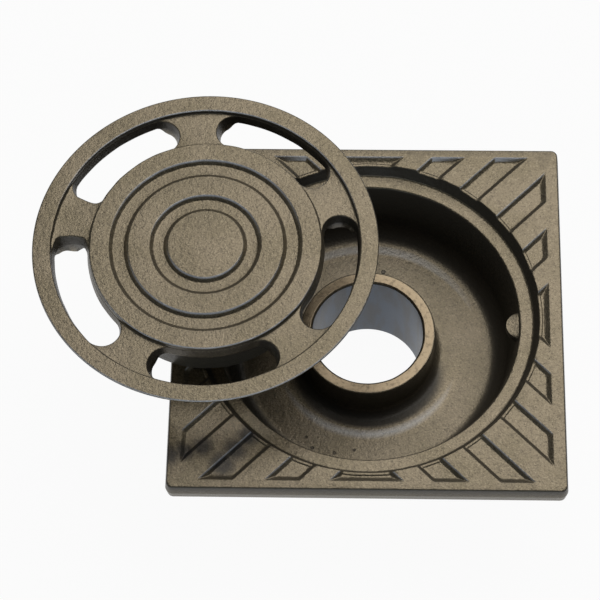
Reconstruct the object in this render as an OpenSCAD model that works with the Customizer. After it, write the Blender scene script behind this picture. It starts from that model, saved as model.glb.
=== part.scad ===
// Cast-iron gully trap (bell trap) for a floor.
// Two castings: the trap body, a square frame plate with a bowl, a standpipe and an
// outlet spigot in one, and the bell cover, a spoked ring with a bell under its disc.
// The cover is lifted off its seat and stands on its bell's rim on the frame plate.
// Origin: centre of the spigot's lower end. +X to the right, +Y to the back, +Z up.

/* [Frame plate] */
// Width of the frame plate, left to right
plate_w = 200; // [198:1:230]
// Depth of the frame plate, front to back
plate_d = 196; // [194:1:230]
// Height of the plate's outer edge
plate_edge = 12.4; // [11:0.2:16]
// Radius of the plate's corners
plate_corner_r = 4; // [2:0.5:8]
// How far the edge leans in above and below its parting line
edge_draft = 0.7; // [0.2:0.1:1.5]

/* [Pockets in the frame plate] */
// Flat border left and right of the pockets
border_side = 7.6; // [6:0.2:9]
// Flat border in front of and behind the pockets
border_front = 5.6; // [4:0.2:7]
// Depth of the pockets
pocket_depth = 2; // [1:0.25:3]
// Width of each slanting pocket, square to its length
pocket_w = 12; // [8:0.5:14]
// Distance between two slanting pockets, middle to middle
pocket_pitch = 23.4; // [21:0.2:25]
// Flat land along each of the plate's diagonals
middle_land_w = 13; // [9:0.5:16]
// Length of the pocket at the middle of each side
side_pocket_len = 36; // [24:1:40]
// How far a pocket's long walls lean
pocket_side_slope = 0.6; // [0.2:0.1:1]
// How far a pocket's outer end wall leans
pocket_end_slope = 1.4; // [0.4:0.1:2]
// Width of the low bead between the pockets and the round opening
lip_w = 1.2; // [0.8:0.2:2]
// Height of that bead above the pockets' floor
lip_h = 0.4; // [0.2:0.1:0.8]

/* [Bowl and standpipe] */
// Height from the spigot's end to the top of the frame plate
body_h = 77; // [72:1:120]
// Depth from the top of the plate to the bowl's floor
bowl_depth = 45; // [42:1:48]
// Inner diameter of the bowl at its mouth
mouth_d = 156; // [150:1:158]
// How much narrower the bowl's wall is at its foot, on the diameter
bowl_narrowing = 12; // [4:1:20]
// Radius between the bowl's wall and floor
bowl_fillet = 11; // [6:1:14]
// Thickness of the bowl's wall
bowl_wall = 5.5; // [4:0.5:7]
// Thickness of the bowl's floor
floor_t = 6; // [4:0.5:8]
// Bore of the standpipe and spigot
bore_d = 57.6; // [50:0.2:60]
// Wall of the standpipe and spigot
pipe_wall = 6.4; // [5:0.2:7.4]
// Depth from the top of the plate to the standpipe's rim
rim_drop = 21.8; // [19:0.2:25]
// Radius at the foot of the standpipe
pipe_fillet = 5; // [2:0.5:6]
// Radius where the spigot leaves the bowl's underside
spigot_fillet = 4; // [2:0.5:5]
// Chamfer turned into the standpipe's rim, on its bore side
rim_chamfer = 1.6; // [0.6:0.2:2.4]
// Rounding of the standpipe's outer rim edge
rim_round = 1; // [0.4:0.2:1.6]

/* [Lug in the bowl] */
// Radius of the half-round lug
lug_r = 7.5; // [5:0.5:9]
// How far the lug stands out from the bowl's mouth
lug_reach = 7; // [4:0.5:7]
// Depth of the lug's flat top below the seat
lug_drop = 2.5; // [1.5:0.25:4]
// Height of the lug's straight side
lug_h = 4; // [3:0.5:6]
// Height of the taper under the lug
lug_taper_h = 6; // [3:0.5:8]
// Direction of the lug, from the +X side
lug_angle = -1; // [-20:1:20]

/* [Bell cover] */
// Outer diameter of the cover
cover_d = 174.5; // [172:0.5:176]
// Thickness of the cover's ring and disc, which is also the depth of its seat
cover_t = 7.4; // [6:0.2:9]
// Width of the ring's flat top
ring_w = 9.3; // [8:0.1:11]
// How far the ring's outer side leans in towards its underside
ring_taper = 3.2; // [2:0.2:4]
// Rounding of the top edges of the ring and the disc
edge_round = 0.8; // [0.3:0.1:1.2]
// Diameter of the raised disc
disc_d = 117.2; // [112:0.2:120]
// Depth of the spokes' tops below the ring and disc
spoke_recess = 2.5; // [1.5:0.25:3.5]
// Depth of the spokes' undersides below the top of the cover
spoke_t = 11.5; // [9:0.5:13]
// Number of spokes
spokes = 5; // [3:1:7]
// Narrowest width of a spoke
spoke_w = 19; // [12:0.5:26]
// Lean of the slots' walls, which narrow towards the underside
slot_draft = 11; // [4:1:14]
// Step between the recess beside the spokes and the slots in its floor
slot_step = 0.2; // [0.1:0.1:0.5]
// Middle diameters of the two ring channels in the disc
channel_mid_d = [87.8, 47.2];
// Width of each ring channel
channel_w = [8.8, 8.3];
// Depth of the ring channels
channel_depth = 2.6; // [1.5:0.1:3.5]
// How far the channels' walls lean
channel_slope = 0.9; // [0.2:0.1:1.2]

/* [Bell] */
// Height from the bell's rim to the top of the cover
bell_h = 37; // [34:0.5:40]
// Outer diameter of the bell at its rim
bell_d = 104; // [98:1:108]
// How much narrower the bell is at its top, on the diameter
bell_narrowing = 3; // [1:0.5:6]
// Thickness of the bell's wall
bell_wall = 4.5; // [3:0.25:6]
// Radius inside the bell, between its wall and the disc
bell_fillet = 4; // [2:0.5:6]

/* [Fit and place of the cover] */
// Gap all round between the cover and its opening
cover_gap = 0.6; // [0.4:0.1:1.5]
// How much the seat's wall leans in over its depth
seat_taper = 2.3; // [1:0.1:2.5]
// Radius at the foot of the seat's wall
seat_fillet = 1.5; // [0.5:0.1:2]
// Sideways place of the lifted cover
cover_x = -82; // [-88:1:-78]
// Front-to-back place of the lifted cover
cover_y = 19.7; // [10:0.1:26]
// Turn of the cover about its own axis
cover_turn = 5.5; // [0:0.5:72]

/* [Hidden] */
$fn = 96;
ARC_STEPS = 6;
CUT = 1;

// Heights, from the spigot's end
seat_z = body_h - cover_t;
plate_under_z = body_h - plate_edge;
floor_z = body_h - bowl_depth;
under_z = floor_z - floor_t;
rim_z = body_h - rim_drop;

// Radii
cover_r = cover_d / 2;
opening_r = cover_r + cover_gap;
mouth_r = mouth_d / 2;
bore_r = bore_d / 2;
pipe_r = bore_r + pipe_wall;
disc_r = disc_d / 2;
ring_in_r = cover_r - ring_w;
bell_r = bell_d / 2;

// The bowl's wall leans by one angle, inside and outside
foot_r = mouth_r - bowl_narrowing / 2;
wall_lean = atan((mouth_r - foot_r) / (seat_z - floor_z));
outer_foot_r = foot_r - floor_t * tan(wall_lean) + bowl_wall / cos(wall_lean);
outer_fillet = bowl_fillet + bowl_wall;

// Ring-shaped recess between the disc and the ring
recess_slope = 0.2;
slot_mid_r = (disc_r + ring_in_r) / 2;
slot_half_w = (ring_in_r - disc_r) / 2 - recess_slope - slot_step;

// Round-ended slots in its floor; the ends are a hair wider than the stretch between them
slot_end_r = slot_half_w + 0.12;
slot_end_angle = asin((slot_end_r + spoke_w / 2) / slot_mid_r);
slot_sweep = 360 / spokes - 2 * slot_end_angle;
slot_narrowing = (spoke_t - spoke_recess) * tan(slot_draft);

// Ribs under the spokes slope up at their outer ends, and clear the bowl's mouth
rib_sweep = 2 * slot_end_angle - 0.8 * asin(slot_half_w / slot_mid_r);
rib_out_r = slot_mid_r + slot_half_w - slot_narrowing - 1.6;
rib_top_r = mouth_r - cover_gap;

// Points along an arc from angle a0 to angle a1
function arc(centre, r, a0, a1) =
    [for (i = [0:ARC_STEPS]) let (a = a0 + (a1 - a0) * i / ARC_STEPS)
        centre + r * [cos(a), sin(a)]];

// Fillet between a level floor at height z and a wall that leans out by lean
function wall_fillet(wall_r, z, r, lean) =
    arc([wall_r + r * tan(lean) - r / cos(lean), z + r], r, -90, -lean);

// Radius of the bell's outside at depth below the top of the cover
function bell_out_r(depth) =
    bell_r - bell_narrowing / 2 * (bell_h - depth) / (bell_h - cover_t);

// Everything inside the casting's outer skin, below the seat
module bowl_outside() {
    rotate_extrude()
        polygon(concat(
            [[0, 0], [pipe_r, 0]],
            arc([pipe_r + spigot_fillet, under_z - spigot_fillet], spigot_fillet, 180, 90),
            wall_fillet(outer_foot_r, under_z, outer_fillet, wall_lean),
            [[outer_foot_r + (seat_z - under_z) * tan(wall_lean), seat_z], [0, seat_z]]
        ));
}

// Space inside the seat and the bowl, with the standpipe left standing in it
module bowl_inside() {
    seat_r = opening_r - seat_taper;
    rotate_extrude()
        polygon(concat(
            [[0, body_h + CUT], [0, rim_z]],
            arc([pipe_r - rim_round, rim_z - rim_round], rim_round, 90, 0),
            arc([pipe_r + pipe_fillet, floor_z + pipe_fillet], pipe_fillet, 180, 270),
            wall_fillet(foot_r, floor_z, bowl_fillet, wall_lean),
            [[mouth_r, seat_z]],
            arc([seat_r - seat_fillet, seat_z + seat_fillet], seat_fillet, -90, 0),
            [[opening_r, body_h], [opening_r, body_h + CUT]]
        ));
}

// Bore through the standpipe and spigot, with the chamfer turned into its rim
module outlet_bore() {
    translate([0, 0, -CUT])
        cylinder(r = bore_r, h = rim_z + 2 * CUT);
    translate([0, 0, rim_z - rim_chamfer])
        cylinder(r1 = bore_r, r2 = bore_r + rim_chamfer, h = rim_chamfer);
}

// Bar along Y whose section leans in by draft above and below its middle
module drafted_bar(width, length) {
    half = width / 2;
    rotate([90, 0, 0])
        linear_extrude(height = length, center = true)
            polygon([
                [-half + edge_draft, -plate_edge], [half - edge_draft, -plate_edge],
                [half, -plate_edge / 2], [half - edge_draft, 0],
                [-half + edge_draft, 0], [-half, -plate_edge / 2]
            ]);
}

// Frame plate as a solid slab with round corners and two-way draft on its edge
module plate_slab() {
    corner_x = plate_w / 2 - plate_corner_r;
    corner_y = plate_d / 2 - plate_corner_r;
    translate([0, 0, body_h])
        intersection() {
            drafted_bar(plate_w, plate_d);
            rotate([0, 0, 90])
                drafted_bar(plate_d, plate_w);
            translate([0, 0, -plate_edge])
                linear_extrude(height = plate_edge)
                    union() {
                        square([plate_w, 2 * corner_y], center = true);
                        square([2 * corner_x, plate_d], center = true);
                        for (sx = [-1, 1], sy = [-1, 1])
                            translate([sx * corner_x, sy * corner_y])
                                circle(r = plate_corner_r);
                    }
        }
}

// Trough along Y, open at the top, with walls that lean in towards its bottom
module trough(width, slope, length) {
    lean = slope / pocket_depth;
    rotate([90, 0, 0])
        linear_extrude(height = length, center = true)
            polygon([
                [-width / 2 + slope, -pocket_depth], [width / 2 - slope, -pocket_depth],
                [width / 2 + CUT * lean, CUT], [-width / 2 - CUT * lean, CUT]
            ]);
}

// Slanting troughs: two each side of a diagonal, straight through both of its corners
module slanting_troughs() {
    length = plate_w + plate_d;
    for (turn = [45, -45], side = [-1, 1], i = [0:1])
        rotate([0, 0, turn])
            translate([side * ((middle_land_w + pocket_w) / 2 + i * pocket_pitch), 0, 0])
                trough(pocket_w, pocket_side_slope, length);
}

// Pocket at the middle of the +Y side, wider towards the edge
module side_pocket(edge_y) {
    inner_y = opening_r - side_pocket_len / 2;
    outer_half = side_pocket_len / 2;
    inner_half = outer_half - (edge_y - inner_y);
    translate([0, 0, -pocket_depth])
        linear_extrude(height = pocket_depth + CUT)
            polygon([
                [-outer_half - CUT, edge_y + CUT], [outer_half + CUT, edge_y + CUT],
                [max(inner_half, 0), inner_y], [-max(inner_half, 0), inner_y]
            ]);
}

// All the pockets in the plate's top: a square field of them, with the bead left standing
module pockets() {
    field_x = plate_w / 2 - border_side;
    field_y = plate_d / 2 - border_front;
    translate([0, 0, body_h])
        difference() {
            intersection() {
                trough(2 * field_x, pocket_end_slope, plate_d);
                rotate([0, 0, 90])
                    trough(2 * field_y, pocket_end_slope, plate_w);
                union() {
                    slanting_troughs();
                    for (turn = [0, 180])
                        rotate([0, 0, turn])
                            side_pocket(field_y);
                    for (turn = [90, 270])
                        rotate([0, 0, turn])
                            side_pocket(field_x);
                }
            }
            translate([0, 0, -pocket_depth - CUT])
                cylinder(r = opening_r + lip_w, h = lip_h + CUT);
        }
}

// Half-round lug on the bowl's wall, tapered underneath
module lug() {
    top_z = seat_z - lug_drop;
    intersection() {
        rotate([0, 0, lug_angle])
            translate([mouth_r - lug_reach + lug_r, 0, top_z - lug_h])
                union() {
                    cylinder(r = lug_r, h = lug_h);
                    translate([0, 0, -lug_taper_h])
                        cylinder(r1 = lug_r / 4, r2 = lug_r, h = lug_taper_h);
                }
        translate([0, 0, under_z])
            cylinder(r = mouth_r + bowl_wall / 4, h = seat_z - under_z);
    }
}

// Trap body: frame plate, bowl, standpipe and spigot in one casting
module trap_body() {
    color("#7d7262")
        union() {
            difference() {
                union() {
                    plate_slab();
                    bowl_outside();
                }
                bowl_inside();
                outlet_bore();
                pockets();
            }
            lug();
        }
}

// Ring, web, disc and bell, turned all the way round
module cover_blank() {
    bell_in = bell_r - bell_wall;
    bell_top_in = bell_out_r(cover_t) - bell_wall;
    rotate_extrude()
        polygon(concat(
            [[0, -cover_t], [0, 0]],
            arc([disc_r - edge_round, -edge_round], edge_round, 90, 0),
            [
                [disc_r + recess_slope, -spoke_recess],
                [ring_in_r - recess_slope, -spoke_recess],
                [ring_in_r, 0]
            ],
            arc([cover_r - edge_round, -edge_round], edge_round, 90, 0),
            [
                [cover_r - ring_taper, -cover_t],
                [bell_out_r(cover_t), -cover_t],
                [bell_r, -bell_h],
                [bell_in, -bell_h]
            ],
            arc([bell_top_in - bell_fillet, -cover_t - bell_fillet], bell_fillet, 0, 90)
        ));
}

// One round-ended slot between two spokes, narrower towards the underside
module slot() {
    lean = tan(slot_draft);
    depth = spoke_t + CUT;
    drop = depth - spoke_recess;
    top_grow = CUT * lean;
    low_shrink = drop * lean;
    rotate([0, 0, -slot_sweep / 2])
        rotate_extrude(angle = slot_sweep)
            polygon([
                [slot_mid_r - slot_half_w - top_grow, CUT - spoke_recess],
                [slot_mid_r + slot_half_w + top_grow, CUT - spoke_recess],
                [slot_mid_r + slot_half_w - low_shrink, -depth],
                [slot_mid_r - slot_half_w + low_shrink, -depth]
            ]);
    for (side = [-1, 1])
        rotate([0, 0, side * slot_sweep / 2])
            translate([slot_mid_r, 0, -depth])
                cylinder(r1 = slot_end_r - low_shrink, r2 = slot_end_r + top_grow, h = drop + CUT);
}

// Rib that makes a spoke deeper than the ring and disc, from the bell outwards
module rib() {
    inner_r = bell_out_r(cover_t) - bell_wall / 2;
    rotate([0, 0, -rib_sweep / 2])
        rotate_extrude(angle = rib_sweep)
            polygon([
                [inner_r, -spoke_t], [rib_out_r, -spoke_t], [rib_top_r, -cover_t],
                [rib_top_r, -cover_t + CUT], [inner_r, -cover_t + CUT]
            ]);
}

// Shallow ring channel in the disc's top
module channel(mid_d, width) {
    over = CUT * channel_slope / channel_depth;
    rotate_extrude()
        translate([mid_d / 2, 0])
            polygon([
                [-width / 2 + channel_slope, -channel_depth],
                [width / 2 - channel_slope, -channel_depth],
                [width / 2 + over, CUT], [-width / 2 - over, CUT]
            ]);
}

// Bell cover: ring, spokes, disc and bell in one casting, stood on its rim
module bell_cover() {
    color("#8f8470")
        translate([cover_x, cover_y, body_h + bell_h])
            rotate([0, 0, cover_turn])
                difference() {
                    union() {
                        cover_blank();
                        for (i = [0:spokes - 1])
                            rotate([0, 0, 90 + i * 360 / spokes])
                                rib();
                    }
                    for (i = [0:spokes - 1])
                        rotate([0, 0, 90 + (i + 0.5) * 360 / spokes])
                            slot();
                    for (i = [0:len(channel_mid_d) - 1])
                        channel(channel_mid_d[i], channel_w[i]);
                }
}

trap_body();
bell_cover();
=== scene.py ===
import math

import bmesh
import bpy
from bpy.props import FloatProperty, FloatVectorProperty, IntProperty, PointerProperty
from mathutils import Matrix, Vector, noise
from mathutils.geometry import delaunay_2d_cdt


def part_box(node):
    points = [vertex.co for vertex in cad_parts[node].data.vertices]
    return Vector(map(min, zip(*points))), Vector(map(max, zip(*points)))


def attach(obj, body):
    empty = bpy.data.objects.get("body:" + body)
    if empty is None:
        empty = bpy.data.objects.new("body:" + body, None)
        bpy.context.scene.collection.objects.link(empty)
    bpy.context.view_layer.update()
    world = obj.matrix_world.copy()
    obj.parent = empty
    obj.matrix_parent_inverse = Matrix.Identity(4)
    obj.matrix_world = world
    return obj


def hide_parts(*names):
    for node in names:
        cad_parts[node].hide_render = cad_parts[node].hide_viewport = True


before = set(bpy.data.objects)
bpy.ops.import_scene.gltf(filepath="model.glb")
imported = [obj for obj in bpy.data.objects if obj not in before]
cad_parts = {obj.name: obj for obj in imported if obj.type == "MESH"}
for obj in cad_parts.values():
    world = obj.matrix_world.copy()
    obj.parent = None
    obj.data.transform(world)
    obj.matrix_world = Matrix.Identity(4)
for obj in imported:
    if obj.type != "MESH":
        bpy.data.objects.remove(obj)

bl_info = {
    "name": "Gully Trap",
    "version": (1, 0, 0),
    "blender": (4, 5, 0),
    "location": "View3D > Sidebar > Gully Trap",
    "description": "Cast-iron gully trap with a lifted bell cover, and its stage",
    "category": "Object",
}

ROOT = "root"
BODY_NODE = "trap_body"
COVER_NODE = "bell_cover"
MM = 0.001
# Places of the rim's and the bore's materials on the trap body; the coat is at 0
RIM_MARK, BORE_MARK = 1, 2
# Points closer than this are one point, in metres
WELD = 4e-6

# Steps round a slot's end, and along its inner and outer sides
SLOT_END, SLOT_INNER, SLOT_OUTER = 18, 18, 22
# The recess's wall beside disc and ring: how far out, and how high over the spokes, in mm
RECESS_WALL = ((0.17, 0.8), (0.18, 0.25), (0.2, 0.0))

# Chance forms of the left spoke, in mm: at (from the cover's middle and top), push and reach
LEFT_SPOKE = (
    ((-75.3, 2.5, -3.0), (-0.3, 2.0, 0.0), 6.0),
    ((-60.5, 3.0, -3.0), (0.3, 1.5, 0.0), 6.0),
    ((-68.0, 3.0, -11.0), (0.0, 0.0, -3.5), 8.0),
    ((-67.5, 2.0, -14.0), (0.0, 0.5, -2.5), 4.0),
    ((-63.5, 25.5, -4.0), (1.0, 2.5, 0.0), 10.0),
    ((-71.5, 30.0, -4.0), (0.5, 1.3, 0.0), 6.0),
)
# Stains and a painted shadow of the cover by the near left corner, pits in the bowl's floor, a nick
# in the ring: x, y, z and radius in mm
STAINS_AND_SHADOW = ((-90.7, -77.6, 77.0, 2.0), (-98.1, -79.9, 77.0, 2.0), (-82.0, -75.0, 77.0, 2.0),
          (-65.4, -76.3, 77.0, 2.5), (-71.6, -83.9, 77.0, 3.0), (-59.1, -69.1, 77.0, 2.0))
PITS = ((8.2, 47.5, 32.0, 0.8), (-31.3, -49.5, 32.0, 0.4), (-28.1, -55.7, 32.0, 0.5),
        (-16.6, -58.4, 32.0, 0.5), (-6.3, -56.6, 32.0, 0.4))
NICKS = ((-29.3, 78.3, 108.0, 1.0),)

# Where the painted shade and highlights change, in mm: heights over the spigot's end, and radii from
# the bowl's axis
SEAT_Z = 70.0
BOWL_WALL_Z = 60.0
BOWL_FLOOR_Z = 34.0
STANDPIPE_R = 36.0
FLOOR_EDGE_R = 63.5
BOWL_R = 79.0
OPENING_R = 88.3
PLATE_EDGE = 96.5
PLATE_ARRIS_Z = (76.2, 76.9)
PLATE_TOP_Z = 77.2
COVER_ARRIS_Z = 113.5

# Cast walls waver sideways by this much over this length, in metres, and within these limits, in mm
WAVER = 0.0002
WAVER_LENGTH = 0.008
BODY_WAVER_Z = 30.0
PLATE_WAVER_EDGE = 95.5
COVER_WAVER_R = 85.0


# Small helpers

def mm(value):
    """A length in metres, in millimetres."""
    return value / MM


def ease(t):
    """0 to 1 with a smooth start and end, and flat beyond them."""
    t = min(1.0, max(0.0, t))
    return t * t * (3 - 2 * t)


def arc(cx, cz, radius, a0, a1, steps):
    """Points on an arc in a profile, from angle a0 to a1 in degrees."""
    points = []
    for i in range(steps + 1):
        a = math.radians(a0 + (a1 - a0) * i / steps)
        points.append((cx + radius * math.cos(a), cz + radius * math.sin(a)))
    return points


def stretch(start, end, steps):
    """Points between two profile points, without the ends."""
    points = []
    for i in range(1, steps):
        t = i / steps
        points.append((start[0] + (end[0] - start[0]) * t, start[1] + (end[1] - start[1]) * t))
    return points


def polar(radius, degrees):
    """A plan point from its radius and direction."""
    a = math.radians(degrees)
    return (radius * math.cos(a), radius * math.sin(a))


class Shell:
    """Vertices and faces in millimetres, built from loops."""

    def __init__(self):
        self.verts = []
        self.faces = []
        self.marks = []

    def loop(self, plan, z):
        """Adds a row of points at one height and gives their indices."""
        first = len(self.verts)
        for x, y in plan:
            self.verts.append((x, y, z))
        return list(range(first, len(self.verts)))

    def row(self, points):
        """Adds a row of points with their own heights."""
        first = len(self.verts)
        self.verts += points
        return list(range(first, len(self.verts)))

    def face(self, indices, mark=0):
        self.faces.append(tuple(indices))
        self.marks.append(mark)

    def lace(self, a, b):
        """Triangles between two closed rows round the axis that differ in their number of points."""
        def by_turn(row):
            turns = []
            for i in row:
                x, y = self.verts[i][:2]
                turns.append(((math.degrees(math.atan2(y, x)) + 10.0) % 360, i))
            turns.sort()
            return turns + [(turns[0][0] + 360, turns[0][1])]

        ta, tb = by_turn(a), by_turn(b)
        i = j = 0
        while i + 1 < len(ta) or j + 1 < len(tb):
            if j + 1 == len(tb) or (i + 1 < len(ta) and ta[i + 1][0] <= tb[j + 1][0]):
                self.face((ta[i][1], ta[i + 1][1], tb[j][1]))
                i += 1
            else:
                self.face((ta[i][1], tb[j + 1][1], tb[j][1]))
                j += 1

    def bridge(self, a, b, closed=True, mark=0):
        """Quads between two rows of the same length."""
        count = len(a)
        last = count if closed else count - 1
        for i in range(last):
            j = (i + 1) % count
            self.face((a[i], a[j], b[j], b[i]), mark)

    def spin(self, profile, angles, closed=True, marks=None):
        """Turns a profile of (radius, height) points through the angles."""
        rows = []
        for k, (r, z) in enumerate(profile):
            rows.append(self.loop([polar(r, a) for a in angles], z))
            if k:
                mark = marks[k - 1] if marks else 0
                self.bridge(rows[-2], rows[-1], closed, mark)
        return rows

    def fill(self, border, holes=()):
        """Triangles over a flat region with holes; all rows are index lists."""
        used = list(border)
        edges = ring_edges(0, len(border))
        for hole in holes:
            edges += ring_edges(len(used), len(hole))
            used += list(hole)
        flat = [Vector(self.verts[i][:2]) for i in used]
        outline = [flat[i] for i in range(len(border))]
        cuts = []
        first = len(border)
        for hole in holes:
            cuts.append(flat[first:first + len(hole)])
            first += len(hole)
        out = delaunay_2d_cdt(flat, edges, [], 0, 1e-5)
        if len(out[0]) != len(flat):
            raise RuntimeError("a flat region's outline crosses itself")
        for tri in out[2]:
            centre = (out[0][tri[0]] + out[0][tri[1]] + out[0][tri[2]]) / 3
            if not within(centre, outline) or any(within(centre, c) for c in cuts):
                continue
            self.face([used[out[3][i][0]] for i in tri])

    def mesh(self, name, lift=(0.0, 0.0, 0.0)):
        """The shell as a mesh in metres."""
        data = bpy.data.meshes.new(name)
        scaled = [tuple((v[i] + lift[i]) * MM for i in range(3)) for v in self.verts]
        data.from_pydata(scaled, [], self.faces)
        data.polygons.foreach_set("material_index", self.marks)
        data.update()
        return data


def sizes(p):
    """A group's settings by name, with its lengths in millimetres."""
    s = {}
    for key, kind in p.bl_rna.properties.items():
        if kind.type in ("FLOAT", "INT"):
            value = getattr(p, key)
            if kind.unit == "LENGTH":
                value = [mm(v) for v in value] if kind.is_array else mm(value)
            s[key] = value
    return s


def ring_edges(first, count):
    """The closed chain of edges over count points."""
    return [(first + i, first + (i + 1) % count) for i in range(count)]


def within(point, outline):
    """True if a plan point lies inside a closed outline."""
    inside = False
    x, y = point
    for i, a in enumerate(outline):
        b = outline[i - 1]
        if (a.y > y) != (b.y > y):
            if x < (b.x - a.x) * (y - a.y) / (b.y - a.y) + a.x:
                inside = not inside
    return inside


def soften(plan, corners, radius, steps=3):
    """Rounds the corners of a closed outline that the flags name."""
    out = []
    count = len(plan)
    for i, here in enumerate(plan):
        if not corners[i]:
            out.append(here)
            continue
        p = Vector(here)
        a = Vector(plan[i - 1]) - p
        b = Vector(plan[(i + 1) % count]) - p
        # Two roundings on one side leave some of it between them
        reach = min(radius, a.length * 0.45, b.length * 0.45)
        start = p + a.normalized() * reach
        end = p + b.normalized() * reach
        for k in range(steps + 1):
            t = k / steps
            q = start * (1 - t) ** 2 + p * 2 * t * (1 - t) + end * t ** 2
            out.append((q.x, q.y))
    return out


# Settings

def colour(code):
    """A hex colour as linear values."""
    out = []
    for i in (0, 2, 4):
        c = int(code[i:i + 2], 16) / 255
        out.append(c / 12.92 if c <= 0.04045 else ((c + 0.055) / 1.055) ** 2.4)
    return (*out, 1.0)


def paint(name, description, code):
    return FloatVectorProperty(name=name, description=description, default=colour(code), size=4,
                               min=0.0, max=1.0, subtype="COLOR")


def length(name, description, default):
    return FloatProperty(name=name, description=description, default=default, unit="LENGTH")


class GULLY_PG_body(bpy.types.PropertyGroup):
    """Sizes of the trap body."""

    corner: length("Corner", "Radius of the plate's corners", 0.004)
    edge: length("Edge height", "Height of the plate's edge", 0.0124)
    draft: length("Edge draft", "How far the edge leans in from its parting line", 0.0007)
    softness: length("Edge rounding", "Rounding of cast edges", 0.0006)
    field: length("Pocket field", "Half width of the square field of pockets", 0.0924)
    pocket_depth: length("Pocket depth", "Depth of the pockets", 0.0017)
    pocket_slope: length("Pocket slope", "Width of a pocket's sloping wall", 0.0014)
    end_ease: FloatProperty(name="Pocket end", description="Slope of a pocket's far end against "
                            "that of its sides", default=1.25)
    pocket_w: length("Pocket width", "Width of a slanting pocket", 0.012)
    pocket_pitch: length("Pocket pitch", "Distance between slanting pockets", 0.0234)
    land: length("Middle land", "Flat land along the diagonals", 0.013)
    side_pocket: length("Side pocket", "Length of the pocket in the middle of a side", 0.036)
    lip: length("Bead width", "Width of the bead between the pockets and the opening", 0.0012)
    bead: length("Bead", "Height of that bead above the pockets' floors", 0.0004)
    opening: length("Opening", "Radius of the round opening", 0.08785)
    seat_depth: length("Seat depth", "Depth of the cover's seat", 0.0074)
    seat_taper: length("Seat taper", "How much the seat's wall leans in", 0.0023)
    mouth: length("Bowl mouth", "Radius of the bowl at the seat", 0.078)
    foot: length("Bowl foot", "Radius of the bowl at its foot", 0.072)
    bowl_depth: length("Bowl depth", "Depth of the bowl's floor", 0.045)
    bowl_fillet: length("Bowl fillet", "Radius between wall and floor", 0.011)
    floor_t: length("Floor", "Thickness of the bowl's floor", 0.006)
    wall: length("Wall", "Thickness of the bowl's wall", 0.0055)
    bore: length("Bore", "Radius of the outlet's bore", 0.0288)
    pipe: length("Standpipe", "Outer radius of standpipe and spigot", 0.0352)
    rim_drop: length("Rim depth", "Depth of the standpipe's rim", 0.0218)
    lug_reach: length("Lug reach", "How far the lug stands out of the wall", 0.007)
    lug_r: length("Lug radius", "Radius of the half-round lug", 0.0075)
    lug_drop: length("Lug depth", "Depth of the lug's top below the seat", 0.0025)
    lug_height: length("Lug height", "Height of the lug", 0.01)
    lug_angle: FloatProperty(name="Lug direction", description="Direction of the lug in degrees",
                             default=-1.0)


class GULLY_PG_cover(bpy.types.PropertyGroup):
    """Sizes of the bell cover."""

    thickness: length("Thickness", "Thickness of ring and disc", 0.0074)
    softness: length("Edge rounding", "Rounding of cast edges", 0.0008)
    ring_w: length("Ring width", "Width of the ring's top", 0.0093)
    ring_taper: length("Ring taper", "How far the ring's side leans in", 0.0032)
    disc: length("Disc", "Radius of the raised disc", 0.0586)
    recess: length("Spoke depth", "Depth of the spokes' tops", 0.0025)
    spoke_t: length("Rib depth", "Depth of the spokes' undersides", 0.0115)
    spoke_w: length("Spoke width", "Narrowest width of a spoke", 0.019)
    channel_r: FloatVectorProperty(name="Channels", description="Middle radii of the channels",
                                   default=(0.0439, 0.0236), size=2, unit="LENGTH")
    channel_w: FloatVectorProperty(name="Channel widths", description="Widths of the channels",
                                   default=(0.0088, 0.0083), size=2, unit="LENGTH")
    channel_depth: length("Channel depth", "Depth of the channels", 0.0021)
    bell: length("Bell", "Radius of the bell at its rim", 0.052)
    bell_narrowing: length("Bell narrowing", "How much narrower the bell is at its top", 0.0015)
    bell_wall: length("Bell wall", "Thickness of the bell's wall", 0.0045)
    slot_draft: FloatProperty(name="Slot draft", description="Lean of the slots' walls in degrees",
                              default=11.0)
    turn: FloatProperty(name="Turn", description="Turn of the cover about its axis in degrees",
                        default=5.5)
    spokes: IntProperty(name="Spokes", description="Number of spokes", default=5, min=3)


class GULLY_PG_finish(bpy.types.PropertyGroup):
    """Colours of the finishes."""

    coat: paint("Lacquer", "Lacquer on the tops", "817762")
    coat_pale: paint("Thin lacquer", "Lacquer where it is thinner", "8B806C")
    coat_dark: paint("Grain hollows", "Lacquer between the grains", "463F35")
    coat_glint: paint("Grain tops", "Lacquer on the tops of grains", "BBAE95")
    # Painted shade: this dark tone goes on steep walls, corners and under edges; it is also the tone
    # of the pits and of the runs in the bore
    wall: paint("Thick lacquer", "Lacquer where it stays thick on the walls", "474239")
    worn: paint("Worn edges", "Edges where the lacquer is rubbed off", "E2E8F2")
    # Painted highlights: this bluish white goes on near shoulders, on the far pockets' ends and on
    # bands of the bowl's floor
    stain: paint("Stains", "Rust-proofing spilt on the plate", "2A2C33")
    # Stains, with a painted shadow of the cover, beside the near left corner
    rim: paint("Bare rim", "Bare metal on the standpipe's rim", "988972")
    bore: paint("Bore", "Thin lacquer in the outlet", "4C5663")
    table: paint("Table", "The board under the object", "F2F2F2")


class GULLY_PG_stage(bpy.types.PropertyGroup):
    """Camera and lights."""

    lens: FloatProperty(name="Lens", description="Focal length in millimetres", default=146.0)
    distance: length("Distance", "Distance from camera to target", 1.2485)
    elevation: FloatProperty(name="Elevation", description="Camera height angle in degrees",
                             default=62.99)
    azimuth: FloatProperty(name="Azimuth", description="Camera direction in degrees", default=-3.31)
    roll: FloatProperty(name="Roll", description="Camera roll in degrees", default=-2.43)
    target: FloatVectorProperty(name="Target", description="Point the camera looks at",
                                default=(-0.03484, 0.00729, 0.077), size=3, unit="LENGTH")


# Nodes

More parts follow.
